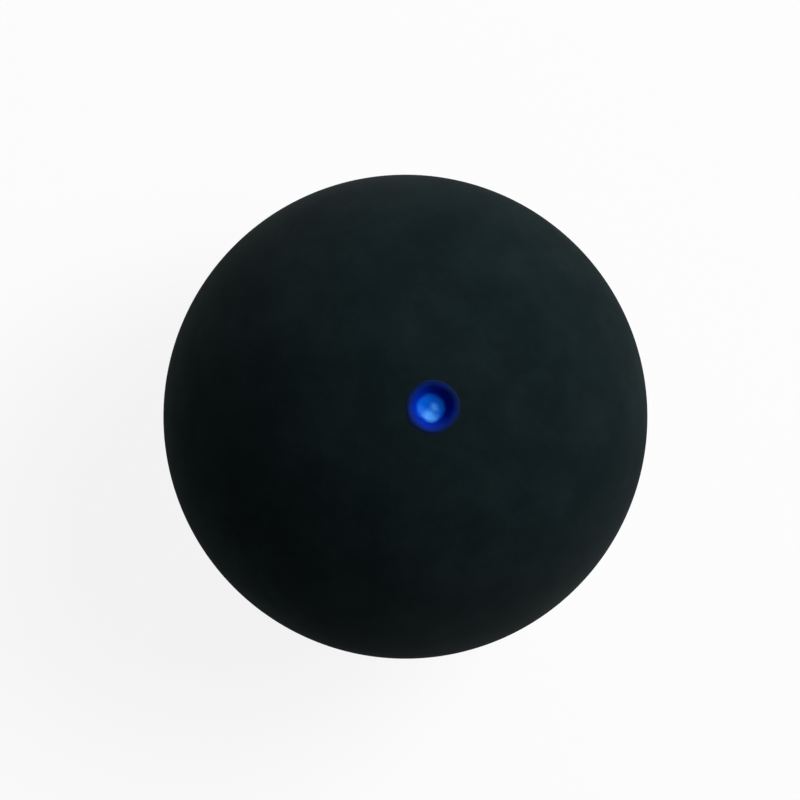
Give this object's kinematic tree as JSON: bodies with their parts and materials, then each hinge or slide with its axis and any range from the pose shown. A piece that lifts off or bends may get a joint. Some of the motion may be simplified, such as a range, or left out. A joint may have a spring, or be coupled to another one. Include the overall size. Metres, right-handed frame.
{
  "type": "squash ball",
  "caption": "Hollow black rubber ball, moulded as half shells cemented at an equator seam, with a small blue painted dimple, struck with a racket against a court wall.",
  "frame": {"origin": "centre of the ball, which is also the centre of the seam", "axes": "+Z from the centre out through the middle of the painted dimple; the seam lies in the XY plane; +X is free, as the ball is round about +Z"},
  "size_m": [0.04, 0.04, 0.04],
  "materials": {
    "shell_rubber": "matt, smooth moulded, slightly cool black",
    "cured_cement": "satin, dark, cured rubber cement",
    "blue_paint": "satin blue paint, a little uneven"
  },
  "bodies": {
    "root": {"dotted_half_shell": "shell_rubber", "plain_half_shell": "shell_rubber", "seam_cement": "cured_cement", "dot_paint": "blue_paint"}
  },
  "joints": []
}
